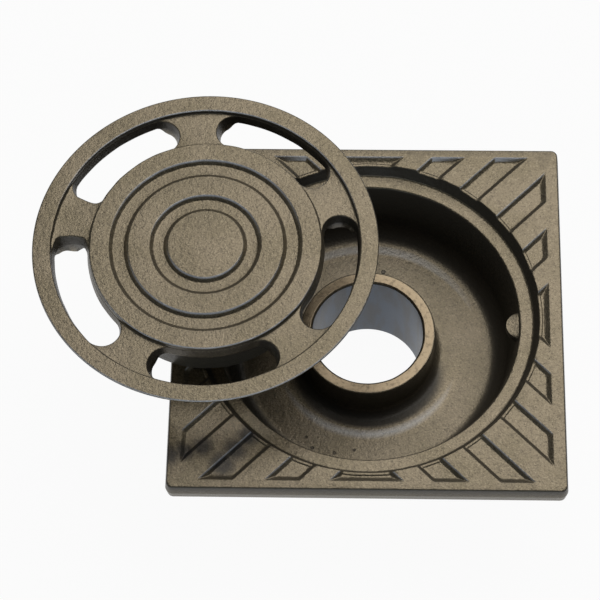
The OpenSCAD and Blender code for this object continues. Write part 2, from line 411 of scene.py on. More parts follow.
def add_node(tree, kind, inputs=None, **settings):
    """Adds a node with its settings; inputs hold plain values or the outputs to link."""
    node = tree.nodes.new(kind)
    for key, value in settings.items():
        setattr(node, key, value)
    for key, value in (inputs or {}).items():
        if isinstance(value, bpy.types.NodeSocket):
            tree.links.new(value, node.inputs[key])
        else:
            node.inputs[key].default_value = value
    count = len(tree.nodes)
    node.location = (count % 12 * 190, -(count // 12) * 320)
    return node


def repeat_group(name):
    """A node group that repeats its geometry round Z."""
    tree = bpy.data.node_groups.new(name, "GeometryNodeTree")
    for label, direction, kind in (("Geometry", "INPUT", "Geometry"), ("Count", "INPUT", "Int"),
                                   ("Merge distance", "INPUT", "Float"),
                                   ("Material", "INPUT", "Material"),
                                   ("Geometry", "OUTPUT", "Geometry")):
        tree.interface.new_socket(name=label, in_out=direction, socket_type="NodeSocket" + kind)
    given = add_node(tree, "NodeGroupInput").outputs
    points = add_node(tree, "GeometryNodePoints", {"Count": given["Count"]})
    index = add_node(tree, "GeometryNodeInputIndex")
    share = add_node(tree, "ShaderNodeMath", {0: math.tau, 1: given["Count"]}, operation="DIVIDE")
    angle = add_node(tree, "ShaderNodeMath", {0: index.outputs[0], 1: share.outputs[0]},
                     operation="MULTIPLY")
    turn = add_node(tree, "ShaderNodeCombineXYZ", {"Z": angle.outputs[0]})
    placed = add_node(tree, "GeometryNodeInstanceOnPoints",
                      {"Points": points.outputs[0], "Instance": given["Geometry"],
                       "Rotation": turn.outputs[0]})
    real = add_node(tree, "GeometryNodeRealizeInstances", {0: placed.outputs[0]})
    merged = add_node(tree, "GeometryNodeMergeByDistance",
                      {"Geometry": real.outputs[0], "Distance": given["Merge distance"]})
    painted = add_node(tree, "GeometryNodeSetMaterial",
                       {"Geometry": merged.outputs[0], "Material": given["Material"]})
    add_node(tree, "NodeGroupOutput", {0: painted.outputs[0]})
    return tree


def repeated(mesh, name, count, coat):
    """The mesh repeated round Z, as a new mesh."""
    group = bpy.data.node_groups.get("repeat_round_axis") or repeat_group("repeat_round_axis")
    carrier = bpy.data.objects.new(name + "_part", mesh)
    bpy.context.scene.collection.objects.link(carrier)
    mod = carrier.modifiers.new("Repeat", "NODES")
    mod.node_group = group
    ids = {s.name: s.identifier for s in group.interface.items_tree if s.in_out == "INPUT"}
    mod[ids["Count"]] = count
    mod[ids["Merge distance"]] = WELD
    mod[ids["Material"]] = coat
    bpy.context.view_layer.update()
    shown = carrier.evaluated_get(bpy.context.evaluated_depsgraph_get())
    result = bpy.data.meshes.new_from_object(shown)
    result.name = name
    bpy.data.objects.remove(carrier)
    return result


def cover_middle():
    """The cover's axis in plan, in millimetres."""
    lo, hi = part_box(COVER_NODE)
    return mm(lo.x + hi.x) / 2, mm(lo.y + hi.y) / 2


def lacquer(x, y, z, normal, axis):
    """Painted shade, 0 on the tops to 1 on steep walls, and below 0 for painted highlights (x, y, z in
    mm).
    """
    # Painted shade: full where a face leans 66 degrees or more, and nothing where it leans less than
    # 37.
    # Faces turned to the far side get more painted shade, up to their edges
    t = (0.8 + 0.3 * min(1.0, max(0.0, 5.0 * normal.y)) - abs(normal.z)) / 0.4
    radius = math.hypot(x, y)
    in_bowl = z < SEAT_Z and radius < BOWL_R and normal.z > 0.0
    if in_bowl and z < BOWL_WALL_Z:
        # Painted shade where the floor meets the wall and over the bowl's floor, and a painted shadow
        # of the standpipe on the floor before it
        t = max(t, (radius - FLOOR_EDGE_R) / 4.0)
        if radius > STANDPIPE_R:
            t = max(t, 0.24, max(0.0, -y) / radius * (45.5 - radius) / 3.0)
    t = min(1.0, max(0.0, t))
    # Less painted shade on the standpipe and on the cover's disc
    on_standpipe = z < SEAT_Z and radius < STANDPIPE_R
    on_disc = z > 105.0 and math.hypot(x - axis[0], y - axis[1]) < 60.5
    if on_standpipe or on_disc:
        t *= 0.6
    on_plate = BOWL_WALL_Z < z < PLATE_TOP_Z and radius > OPENING_R and x > -100.1
    if on_plate and max(abs(x), abs(y)) > PLATE_EDGE:
        # Painted shade: a dark line under the plate's upper edge, and less on the rest of its sides
        low, high = PLATE_ARRIS_Z
        return 1.0 if low < z < high else 0.6 * t
    if on_plate and normal.y < -0.5 and y > 87.0 and 75.4 < z < 76.9:
        # A painted highlight on the far ends of the far pockets
        return -0.7
    t = ease(t)
    if in_bowl and z < BOWL_FLOOR_Z:
        # A painted bluish sheen on the floor, by the far wall and before the standpipe
        middle = 61.0 if y > 0.0 else 47.5
        t -= 0.5 * max(0.0, 1.0 - abs(radius - middle) / 4.5) * abs(y) / radius
    # Painted highlights on the near shoulders of the plate's and the cover's tops
    shoulder = on_plate and z > 76.4 or z > COVER_ARRIS_Z
    if shoulder and 0.55 < normal.z < 0.97:
        worn = min(1.0, max(0.0, -2.5 * normal.y - 0.2))
        t -= worn * (t + 0.8)
    return t


def dent(mesh, place, push, reach):
    """Pushes the vertices within reach of a place, less and less away from it (all in mm)."""
    centre = Vector(place) * MM
    for v in mesh.vertices:
        v.co += Vector(push) * MM * ease(1.0 - (v.co - centre).length / (reach * MM))


def finished(name, meshes, materials, node):
    """One closed piece from meshes that meet, with even shading."""
    bm = bmesh.new()
    for mesh in meshes:
        if mesh.materials:
            mesh.polygons.foreach_set("material_index", [0] * len(mesh.polygons))
        bm.from_mesh(mesh)
    bmesh.ops.remove_doubles(bm, verts=bm.verts, dist=WELD)
    bmesh.ops.recalc_face_normals(bm, faces=bm.faces)
    open_edges = [e for e in bm.edges if not e.is_manifold]
    if open_edges:
        print(name, "has", len(open_edges), "open edges")
    for f in bm.faces:
        f.smooth = True
    bm.normal_update()
    # Walls away from the plate's edges and the ring's side waver, from a fixed seed
    noise.seed_set(1)
    axis = cover_middle()
    for v in bm.verts:
        x, y, z = (mm(c) for c in v.co)
        if node == BODY_NODE:
            inner = z > BODY_WAVER_Z and max(abs(x), abs(y)) < PLATE_WAVER_EDGE
        else:
            inner = math.hypot(x - axis[0], y - axis[1]) < COVER_WAVER_R
        if inner and abs(v.normal.z) < 0.97:
            shift = noise.noise_vector(v.co / WAVER_LENGTH) * WAVER
            v.co += Vector((shift.x, shift.y, 0.0))
    # Painted shade and painted highlights, kept on each vertex
    wall = bm.verts.layers.float.new("wall")
    for v in bm.verts:
        v[wall] = lacquer(*(mm(c) for c in v.co), v.normal, axis)
    data = bpy.data.meshes.new(name)
    bm.to_mesh(data)
    bm.free()
    for coat in materials:
        data.materials.append(coat)
    piece = bpy.data.objects.new(name, data)
    bpy.context.scene.collection.objects.link(piece)
    mod = piece.modifiers.new("Normals", "WEIGHTED_NORMAL")
    mod.keep_sharp = False
    bpy.context.view_layer.update()
    shown = piece.evaluated_get(bpy.context.evaluated_depsgraph_get())
    flat = bpy.data.meshes.new_from_object(shown)
    piece.modifiers.clear()
    piece.data = flat
    flat.name = name
    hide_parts(node)
    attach(piece, ROOT)


# Trap body

def pocket_profile(depth, slope, soft):
    """(height, outward growth) rows of a pocket's wall, from the top inwards."""
    return [
        (0.0, soft),
        (-0.3 * soft, 0.3 * soft),
        (-soft, -0.3 * slope),
        (-depth + soft, -0.7 * slope),
        (-depth + 0.3 * soft, -slope - 0.3 * soft),
        (-depth, -slope - soft),
    ]


def beside_diagonal(v, radius):
    """The plan point at a radius and at distance v from the diagonal, towards +X."""
    u = math.sqrt(radius * radius - v * v)
    return ((u + v) / math.sqrt(2), (u - v) / math.sqrt(2))


def edge_radius(s, z):
    """Radius where the plate's top or a pocket ends at the opening; the wall there leans in."""
    return s["opening"] + s["softness"] + z * s["seat_taper"] / s["seat_depth"]


def pocket_floor(s, radius):
    """Height of a pocket's floor: a low bead along the opening, then flat."""
    fall = 0.5
    start = s["opening"] + s["lip"] - 0.3 * fall
    return -s["pocket_depth"] + s["bead"] * (1 - ease((radius - start) / fall))


def pocket_row(s, slanting, v0, v1, grow, radii):
    """A pocket's outline from the opening out, round its far end and back in."""
    edge = s["field"] + grow * (s["end_ease"] if grow < 0 else 1.0)
    if slanting:
        lo, hi = v0 - grow, v1 + grow
        start = [beside_diagonal(hi, r) for r in radii]
        end = [beside_diagonal(lo, r) for r in radii]
        corners = [(edge, edge - hi * math.sqrt(2)), (edge, edge - lo * math.sqrt(2))]
    else:
        v = v0 - grow
        end = [beside_diagonal(v, r) for r in radii]
        start = [(x, -y) for x, y in end]
        tip = edge - v * math.sqrt(2)
        corners = [(edge, -tip), (edge, tip)]
    flags = [False] * len(start) + [True, True] + [False] * len(end)
    corner_r = 1.1
    return soften(start + corners + list(reversed(end)), flags, corner_r)


def pocket_rows(s, slanting, v0, v1):
    """Wall rows from the top down, and rows across the bead from the opening out."""
    walls = []
    # Radii of the rows that carry the bead's fall, close together over it
    past = [s["opening"] + s["lip"] + d for d in (-0.5, -0.15, 0.1, 0.35, 0.6)]
    for z, grow in pocket_profile(s["pocket_depth"], s["pocket_slope"], s["softness"]):
        at_edge = max(z, s["bead"] - s["pocket_depth"])
        plan = pocket_row(s, slanting, v0, v1, grow, [edge_radius(s, at_edge)] + past)
        walls.append([(x, y, max(z, pocket_floor(s, math.hypot(x, y)))) for x, y in plan])
    across = []
    for j in range(len(past) + 1):
        x, y, z = walls[-1][j]
        far_x, far_y, _ = walls[-1][-1 - j]
        r = math.hypot(x, y)
        a0, a1 = math.atan2(y, x), math.atan2(far_y, far_x)
        steps = 7 if slanting else 16
        turns = [a0 + (a1 - a0) * i / steps for i in range(1, steps)]
        across.append([(r * math.cos(a), r * math.sin(a), z) for a in turns])
    return walls, across


def pocket_quarter(s):
    """One quarter's pockets, with the quarter of the top's inner outline and of the opening's edge."""
    shell = Shell()
    sets = [pocket_rows(s, False, (s["field"] - s["side_pocket"] / 2) / math.sqrt(2), 0.0)]
    bars = []
    for k in (1, 0):
        middle = (s["land"] + s["pocket_w"]) / 2 + k * s["pocket_pitch"]
        bars.append(pocket_rows(s, True, middle - s["pocket_w"] / 2, middle + s["pocket_w"] / 2))
    sets += bars
    for walls, across in reversed(bars):
        sets.append(([[(y, x, z) for x, y, z in reversed(row)] for row in walls],
                     [[(y, x, z) for x, y, z in reversed(row)] for row in across]))
    x, y, _ = sets[0][0][0][0]
    outline = []
    edge = []
    for n, (walls, across) in enumerate(sets):
        rows = [shell.row(points) for points in walls]
        for upper, lower in zip(rows, rows[1:]):
            shell.bridge(upper, lower, closed=False)
        foot = rows[-1]
        beads = []
        for j, points in enumerate(across):
            beads.append([foot[j]] + shell.row(points) + [foot[-1 - j]])
            if j:
                shell.bridge(beads[-2], beads[-1], closed=False)
        last = len(across) - 1
        shell.fill(foot[last:len(foot) - last] + list(reversed(beads[-1][1:-1])))
        a0 = math.atan2(walls[0][-1][1], walls[0][-1][0])
        ahead = sets[n + 1][0][0][0] if n + 1 < len(sets) else (-y, x, 0.0)
        a1 = math.atan2(ahead[1], ahead[0])
        r = edge_radius(s, 0.0)
        step_length = 2.5
        steps = max(2, round((a1 - a0) * r / step_length))
        turns = [a0 + (a1 - a0) * i / steps for i in range(1, steps)]
        land = [(r * math.cos(a), r * math.sin(a), 0.0) for a in turns]
        outline += walls[0] + land
        edge += [row[0] for row in walls] + across[0] + [row[-1] for row in reversed(walls)] + land
    return shell, outline, edge


def plate_outline(half_x, half_y, inset, corner, sides=24, steps=6):
    """The plate's outline with rounded corners, drawn in by inset."""
    hx, hy = half_x - inset, half_y - inset
    r = max(corner - inset, 0.4)
    plan = []
    spots = ((1, 1, 0), (-1, 1, 90), (-1, -1, 180), (1, -1, 270))
    for n, (sx, sy, a0) in enumerate(spots):
        cx, cy = sx * (hx - r), sy * (hy - r)
        for i in range(steps + 1):
            dx, dy = polar(r, a0 + 90 * i / steps)
            plan.append((cx + dx, cy + dy))
        nx, ny, na = spots[(n + 1) % 4]
        dx, dy = polar(r, na)
        end = (nx * (hx - r) + dx, ny * (hy - r) + dy)
        plan += stretch(plan[-1], end, sides)
    return plan


def body_profile(s):
    """The turned section: seat, bowl, standpipe, bore, spigot and underside."""
    seat, mouth, foot = s["seat_depth"], s["mouth"], s["foot"]
    pipe, bore, rim_z = s["pipe"], s["bore"], -s["rim_drop"]
    floor_z, end_z = -s["bowl_depth"], -s["height"]
    under_z = floor_z - s["floor_t"]
    lean = math.degrees(math.atan((mouth - foot) / (s["bowl_depth"] - seat)))
    tan, cos = math.tan(math.radians(lean)), math.cos(math.radians(lean))
    seat_round = 1.5
    mouth_round = rim_round = chamfer = 0.9
    end_round = 0.6
    plate_fillet = 1.5
    pipe_fillet, spigot_fillet = 5.0, 4.0
    points = []
    marks = []

    def add(new, mark=0):
        for p in new:
            points.append(p)
            marks.append(mark)

    seat_r = s["opening"] - s["seat_taper"]
    add([(s["opening"] - 0.5 * s["seat_taper"], -0.5 * seat)])
    add(arc(seat_r - seat_round, -seat + seat_round, seat_round, 0, -90, 4))
    add(stretch((seat_r - seat_round, -seat), (mouth + mouth_round, -seat), 4))
    add(arc(mouth + mouth_round, -seat - mouth_round, mouth_round, 90, 180 - lean, 3))

    # Wall: rows close together at the lug's top, then even down to its foot
    top, bottom = s["lug_top"], s["lug_bottom"]
    below = top - 0.8
    wall = [-seat - 1.6, top + 0.3, top, top - 0.25, below]
    wall += [below + (bottom - below) * i / 8 for i in range(1, 9)]
    add([(mouth + (z + seat) * tan, z) for z in wall])
    fillet = s["bowl_fillet"]
    centre = foot + fillet * tan - fillet / cos
    add(arc(centre, floor_z + fillet, fillet, -lean, -90, 8))
    add(stretch((centre, floor_z), (pipe + pipe_fillet, floor_z), 9))

    # Standpipe, its rim with a chamfer, and the bore
    add(arc(pipe + pipe_fillet, floor_z + pipe_fillet, pipe_fillet, -90, -180, 5))
    add(stretch((pipe, floor_z + pipe_fillet), (pipe, rim_z - rim_round), 4))
    add(arc(pipe - rim_round, rim_z - rim_round, rim_round, 0, 90, 3))
    add([(bore + chamfer + 0.3, rim_z), (bore + chamfer, rim_z - 0.2),
         (bore + 0.15, rim_z - chamfer)], RIM_MARK)
    add([(bore, rim_z - chamfer - 0.3)], BORE_MARK)
    add(stretch((bore, rim_z - 2), (bore, end_z + end_round), 6), BORE_MARK)
    add(arc(bore + end_round, end_z + end_round, end_round, 180, 270, 2), BORE_MARK)

    # Spigot, and the bowl's outside up to the plate
    add(arc(pipe - end_round, end_z + end_round, end_round, 270, 360, 2))
    add(arc(pipe + spigot_fillet, under_z - spigot_fillet, spigot_fillet, 180, 90, 4))
    outer = foot - s["floor_t"] * tan + s["wall"] / cos
    fillet = s["bowl_fillet"] + s["wall"]
    centre = outer + fillet * tan - fillet / cos
    add(stretch((pipe + spigot_fillet, under_z), (centre, under_z), 4))
    add(arc(centre, under_z + fillet, fillet, -90, -lean, 8))
    last_z = -s["edge"] - plate_fillet
    last_r = outer + (last_z - under_z) * tan
    add(stretch(points[-1], (last_r, last_z), 3))
    add(arc(last_r + plate_fillet, last_z, plate_fillet, 180, 90, 3))
    return points, marks[1:]


def press_lug(shell, rows, s):
    """Draws the lug out of the bowl's wall: a half round that narrows towards its foot."""
    a0 = math.radians(s["lug_angle"])
    ca, sa = math.cos(a0), math.sin(a0)
    centre = s["mouth"] - s["lug_reach"] + s["lug_r"]
    top, bottom = s["lug_top"], s["lug_bottom"]
    shoulder = top - 4.0
    top_ease = 0.35
    for row in rows:
        for i in row:
            x, y, z = shell.verts[i]
            if z > top + 0.1 or z < bottom or x * ca + y * sa < 0:
                continue
            r = math.hypot(x, y)
            side = y * ca - x * sa
            fall = max(0.0, (shoulder - z) / (shoulder - bottom))
            size = s["lug_r"] * (1 - 0.75 * fall ** 1.3)
            if z > top - 0.2:
                size -= top_ease
            if abs(side) >= size:
                continue
            inner = centre - math.sqrt(size * size - side * side)
            if inner < r:
                k = inner / r
                shell.verts[i] = (x * k, y * k, z)


def lug_angles(s):
    """Directions of the turned rows: even, and closer together at the lug."""
    half = 7.0
    fine_steps, steps = 36, 168
    fine = [s["lug_angle"] - half + 2 * half * i / fine_steps for i in range(fine_steps + 1)]
    rest = 360.0 - 2 * half
    return fine + [s["lug_angle"] + half + rest * i / steps for i in range(1, steps)]


def body_sizes(p):
    """The body's sizes in millimetres."""
    lo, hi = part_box(BODY_NODE)
    s = sizes(p)
    s["half_x"] = mm(hi.x - lo.x) / 2
    s["half_y"] = mm(hi.y - lo.y) / 2
    s["height"] = mm(hi.z - lo.z)
    s["lug_top"] = -s["seat_depth"] - s["lug_drop"]
    s["lug_bottom"] = s["lug_top"] - s["lug_height"]
    return s


def make_body(props):
    """The trap body as one closed casting."""
    s = body_sizes(props)
    coat, rim, bore = (material(build) for build in (
        sand_cast_iron_bronze_lacquer, turned_grey_iron_bare, cast_grey_iron_thin_lacquer))
    shell = Shell()
    angles = lug_angles(s)
    profile, marks = body_profile(s)
    rows = shell.spin(profile, angles, marks=marks)
    press_lug(shell, rows, s)
    quarter, outline, edge_points = pocket_quarter(s)
    sides = []
    soft, edge, draft = 0.8, s["edge"], s["draft"]
    # The plate's edge leans in both ways from a rounded parting line half way down
    upper = ((draft + soft, 0.0), (draft + 0.3 * soft, -0.3 * soft), (draft, -soft),
             (draft * 0.15, -edge * 0.46))
    lower = [(inset, -edge - z) for inset, z in reversed(upper)]
    for inset, z in (*upper, (0.0, -edge * 0.5), *lower):
        plan = plate_outline(s["half_x"], s["half_y"], inset, s["corner"])
        sides.append(shell.loop(plan, z))
        if len(sides) > 1:
            shell.bridge(sides[-2], sides[-1])
    top = []
    opening = [[], [], [], []]
    curve = arc(s["softness"], -s["softness"], s["softness"], 90, 180, 3)
    for c, q in ((1, 0), (0, 1), (-1, 0), (0, -1)):
        top += shell.row([(x * c - y * q, x * q + y * c, 0.0) for x, y, _ in outline])
        for row, (out, down) in zip(opening, curve):
            for x, y, z in edge_points:
                k = 1.0 + (out - s["softness"]) / math.hypot(x, y)
                row.append(((x * c - y * q) * k, (x * q + y * c) * k, z + down))
    opening = [shell.row(points) for points in opening]
    for upper, lower in zip(opening, opening[1:]):
        shell.bridge(upper, lower)
    shell.lace(opening[-1], rows[0])
    shell.fill(sides[0], [top])
    shell.fill(sides[-1], [rows[-1]])
    lift = (0.0, 0.0, s["height"])
    pockets = repeated(quarter.mesh("pocket_quarter", lift), "pockets", 4, coat)
    finished("trap_casting", [shell.mesh("trap_shell", lift), pockets], [coat, rim, bore],
             BODY_NODE)


# Bell cover

def cover_sizes(p):
    """The cover's sizes in millimetres."""
    lo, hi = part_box(COVER_NODE)
    s = sizes(p)
    s["x"], s["y"] = cover_middle()
    s["top"] = mm(hi.z)
    s["height"] = mm(hi.z - lo.z)
    s["radius"] = mm(hi.x - lo.x) / 2
    s["lean"] = math.tan(math.radians(s["slot_draft"]))
    s["ring_in"] = s["radius"] - s["ring_w"]
    s["mid"] = (s["disc"] + s["ring_in"]) / 2
    s["half"] = (s["ring_in"] - s["disc"]) / 2 - 0.4
    s["end_angle"] = math.degrees(math.asin((s["half"] + s["spoke_w"] / 2) / s["mid"]))
    s["sector"] = 180.0 / s["spokes"]
    s["sweep"] = s["sector"] - s["end_angle"]
    s["rib_angle"] = s["sweep"] + 0.4 * math.degrees(math.asin(s["half"] / s["mid"]))
    s["rib_out"] = s["mid"] + s["half"] - (s["spoke_t"] - s["recess"]) * s["lean"] - 1.0
    return s


def channel(middle, width, depth):
    """Profile points across a channel with sloping walls and eased edges."""
    slope, soft = 1.05, 0.8
    wall = ((-soft, 0.0), (-0.3 * soft, -0.3 * soft), (0.3 * slope, -1.1 * soft),
            (0.8 * slope, -depth + soft), (slope + 0.3 * soft, -depth + 0.3 * soft),
            (slope + soft, -depth))
    near = [(middle - width / 2 + out, z) for out, z in wall]
    return near + [(middle + width / 2 - out, z) for out, z in reversed(wall)]


def slot_outline(s, grow, end_grow=None):
    """A slot's outline about +X, grown by grow and by end_grow at its two tips."""
    half = s["half"] + grow
    extra = 0.0 if end_grow is None else end_grow - grow
    ca, sa = math.cos(math.radians(s["sweep"])), math.sin(math.radians(s["sweep"]))
    cx, cy = s["mid"] * ca, s["mid"] * sa
    upper = []
    for i in range(SLOT_END + 1):
        a = 180.0 * i / SLOT_END
        dx, dy = polar(half + extra * math.sin(math.radians(a)), a + s["sweep"])
        upper.append((cx + dx, cy + dy))
    plan = list(upper)
    for i in range(1, SLOT_INNER):
        a = s["sweep"] - 2 * s["sweep"] * i / SLOT_INNER
        plan.append(polar(s["mid"] - half, a))
    plan += [(x, -y) for x, y in reversed(upper)]
    for i in range(1, SLOT_OUTER):
        a = -s["sweep"] + 2 * s["sweep"] * i / SLOT_OUTER
        plan.append(polar(s["mid"] + half, a))
    return plan


def ease_foot(shell, rows, angles, reach, rib_a):
    """Widens the foot of a recess wall beside a spoke into a fillet."""
    for row, far in zip(rows, reach):
        for i, a in zip(row, angles):
            x, y, z = shell.verts[i]
            k = 1.0 + far * ease((abs(a) - rib_a) / 4.0) / math.hypot(x, y)
            shell.verts[i] = (x * k, y * k, z)


def make_cover(props):
    """The bell cover: one spoke-to-spoke sector, repeated round the axis."""
    s = cover_sizes(props)
    coat = material(sand_cast_iron_bronze_lacquer)
    shell = Shell()
    soft, t, recess = s["softness"], s["thickness"], s["recess"]
    edge = s["sector"]
    rib_a = s["rib_angle"]
    inner_steps = 30
    side_steps = 8
    angles = [-edge + (edge - rib_a) * i / side_steps for i in range(side_steps)]
    angles += [-rib_a + 2 * rib_a * i / inner_steps for i in range(inner_steps)]
    angles += [rib_a + (edge - rib_a) * i / side_steps for i in range(side_steps + 1)]

    # Top of the disc with its channels, out to the recess beside the spokes
    profile = [(0.0, 0.0)]
    for r, w in sorted(zip(s["channel_r"], s["channel_w"])):
        profile += channel(r, w, s["channel_depth"])
    profile += arc(s["disc"] - soft, -soft, soft, 90, 0, 4)
    profile += [(s["disc"] + out, up - recess) for out, up in RECESS_WALL]
    rows = shell.spin(profile, angles, closed=False)
    web_in = rows[-1]
    ease_foot(shell, rows[-2:], angles, (0.15, 0.8), rib_a)

    # Ring, from the recess over the top, down the tapered side and under
    foot = s["radius"] - s["ring_taper"]
    foot_round = 0.6
    profile = [(s["ring_in"] - out, up - recess) for out, up in reversed(RECESS_WALL)]
    profile += arc(s["ring_in"] + soft, -soft, soft, 180, 90, 4)
    profile += arc(s["radius"] - soft, -soft, soft, 90, 0, 4)
    profile += stretch((s["radius"], -soft), (foot, -t + foot_round), 2)
    profile += [(foot, -t + foot_round), (foot - 0.15, -t + 0.15), (foot - foot_round, -t)]
    rows = shell.spin(profile, angles, closed=False)
    web_out = rows[0]
    ring_under = rows[-1]
    ease_foot(shell, rows[:2], angles, (-0.8, -0.15), rib_a)

    # Slot walls: height, growth, and growth at the tips, from the eased edge down the draft
    levels = ((-recess, 0.12, 0.6), (-recess - 0.18, 0.05, 0.2), (-recess - 0.6, -0.1, -0.1),
              (-t + 0.4, (-t + 0.4 + recess) * s["lean"], None),
              (-t, (-t + recess) * s["lean"], None))
    slot_rows = []
    for z, grow, end_grow in levels:
        slot_rows.append(shell.loop(slot_outline(s, grow, end_grow), z))
        if len(slot_rows) > 1:
            shell.bridge(slot_rows[-2], slot_rows[-1])
    low_plan = slot_outline(s, (-s["spoke_t"] + recess) * s["lean"])
    count = len(low_plan)
    # The slot's end wall grows deeper from the ring to the rib, and ends at the rib's side
    knee = 0
    while math.hypot(*low_plan[knee]) > s["rib_out"]:
        knee += 1
    last = knee
    while math.degrees(math.atan2(low_plan[last + 1][1], low_plan[last + 1][0])) > rib_a:
        last += 1
    spans = []
    upper = list(range(last + 1))
    mirror = [2 * SLOT_END + SLOT_INNER - i for i in upper]
    for members in (upper, mirror):
        high = [slot_rows[-1][i] for i in members]
        low = [high[0]]
        for i in upper[1:-1]:
            f = ease(min(i / knee, (last - i) / 4))
            hx, hy, _ = shell.verts[high[i]]
            lx, ly = low_plan[members[i]]
            low += shell.row([(hx + (lx - hx) * f, hy + (ly - hy) * f,
                               -t - (s["spoke_t"] - t) * f)])
        low.append(high[-1])
        shell.face((high[0], high[1], low[1]))
        shell.bridge(high[1:-1], low[1:-1], closed=False)
        shell.face((high[-2], high[-1], low[-2]))
        spans.append((members, low))

    # Flat top of the web
    border = web_in + list(reversed(web_out))
    shell.fill(border, [slot_rows[0]])

    # Bell: from the disc's underside down to the rim and up inside
    rim_round = 0.8
    top_fillet = 4

    def bell_r(z):
        return s["bell"] - s["bell_narrowing"] * (s["height"] + z) / (s["height"] - t)

    rim_z = -s["height"] + rim_round
    inner = s["bell"] - s["bell_wall"]
    inside = inner - s["bell_narrowing"]
    slack = 1e-6
    middle = [a for a in angles if abs(a) <= rib_a + slack]
    left = [a for a in angles if a <= -rib_a + slack]
    right = [a for a in angles if a >= rib_a - slack]
    rib_end = (bell_r(-s["spoke_t"]), -s["spoke_t"])
    top_rows = shell.spin([(bell_r(-t), -t), rib_end], middle, closed=False)
    bell_rows = shell.spin(
        [rib_end]
        + stretch(rib_end, (s["bell"], rim_z), 3)
        + arc(s["bell"] - rim_round, rim_z, rim_round, 0, -90, 3)
        + arc(inner + rim_round, rim_z, rim_round, 270, 180, 3)
        + stretch((inner, rim_z), (inside, -t - top_fillet), 3)
        + arc(inside - top_fillet, -t - top_fillet, top_fillet, 0, 90, 5)
        + [((inside - top_fillet) * 0.5, -t), (0.0, -t)],
        angles, closed=False)

    # Undersides: disc, ring and ribs, with the ribs' sides and sloping outer ends
    (up, up_low), (down, down_low) = spans
    inner_part = [slot_rows[-1][i] for i in range(up[-1], down[-1] + 1)]
    shell.fill(top_rows[0] + inner_part)
    outer_part = [slot_rows[-1][i] for i in [*range(down[0], count), 0]]
    caps = []
    for i, z in ((0, -t), (knee, -s["spoke_t"])):
        x, y, _ = shell.verts[up_low[i]]
        a0 = math.degrees(math.atan2(y, x))
        plan = [polar(math.hypot(x, y), a0 + (edge - a0) * k / 6) for k in range(1, 7)]
        caps.append((shell.loop(plan, z), shell.loop([(x, -y) for x, y in plan], z)))
    (high_up, high_down), (low_up, low_down) = caps
    shell.fill(ring_under + list(reversed(high_up)) + list(reversed(outer_part)) + high_down)
    for low, high_cap, low_cap in ((up_low, high_up, low_up), (down_low, high_down, low_down)):
        shell.fill(list(reversed(high_cap)) + low[:knee + 1] + low_cap)
    n_mid = len(top_rows[0])
    shell.face((up_low[-1], top_rows[1][n_mid - 1], top_rows[0][n_mid - 1]))
    shell.face((down_low[-1], top_rows[1][0], top_rows[0][0]))
    bell_left = bell_rows[0][:len(left)]
    bell_right = bell_rows[0][-len(right):]
    shell.fill(low_up[::-1] + up_low[knee:] + bell_right)
    shell.fill(low_down[::-1] + down_low[knee:] + list(reversed(bell_left)))

    sector = shell.mesh("cover_sector")
    whole = repeated(sector, "cover_round", s["spokes"], coat)
    turn = Matrix.Rotation(math.radians(90 + props.turn + edge), 4, "Z")
    place = Matrix.Translation((s["x"] * MM, s["y"] * MM, s["top"] * MM))
    whole.transform(place @ turn)
    # The sand gave way beside the left spoke: a flatter arch, a deeper wall and a burr under it
    for at, push, reach in LEFT_SPOKE:
        dent(whole, (s["x"] + at[0], s["y"] + at[1], s["top"] + at[2]), push, reach)
    finished("cover_casting", [whole], [coat], COVER_NODE)


# Materials

def spots(tree, place, centres, edge):
    """1 inside round spots (x, y, z and radius in mm), with soft edges, and 0 outside."""
    whole = None
    for x, y, z, radius in centres:
        away = add_node(tree, "ShaderNodeVectorMath",
                        {0: place, 1: (x * MM, y * MM, z * MM)}, operation="DISTANCE")
        inside = add_node(tree, "ShaderNodeMapRange",
                          {"Value": away.outputs["Value"], "From Min": (radius + edge) * MM,
                           "From Max": radius * MM},
                          interpolation_type="SMOOTHSTEP").outputs["Result"]
        if whole is not None:
            inside = add_node(tree, "ShaderNodeMath", {0: whole, 1: inside},
                              operation="MAXIMUM").outputs[0]
        whole = inside
    return whole


def material(build):
    """The material whose nodes a function makes, named after the function and made once."""
    name = build.__name__
    if name not in bpy.data.materials:
        made = bpy.data.materials.new(name)
        made.use_nodes = True
        tree = made.node_tree
        tree.nodes.clear()
        place = add_node(tree, "ShaderNodeTexCoord").outputs["Object"]
        shader = build(tree, place, bpy.context.scene.gully_finish)
        add_node(tree, "ShaderNodeOutputMaterial", {"Surface": shader.outputs[0]})
    return bpy.data.materials[name]


def grains(place, size, detail, rough=0.5):
    """Inputs of a noise whose grains are size mm across."""
    return {"Vector": place, "Scale": 1.0 / (size * MM), "Detail": detail, "Roughness": rough}


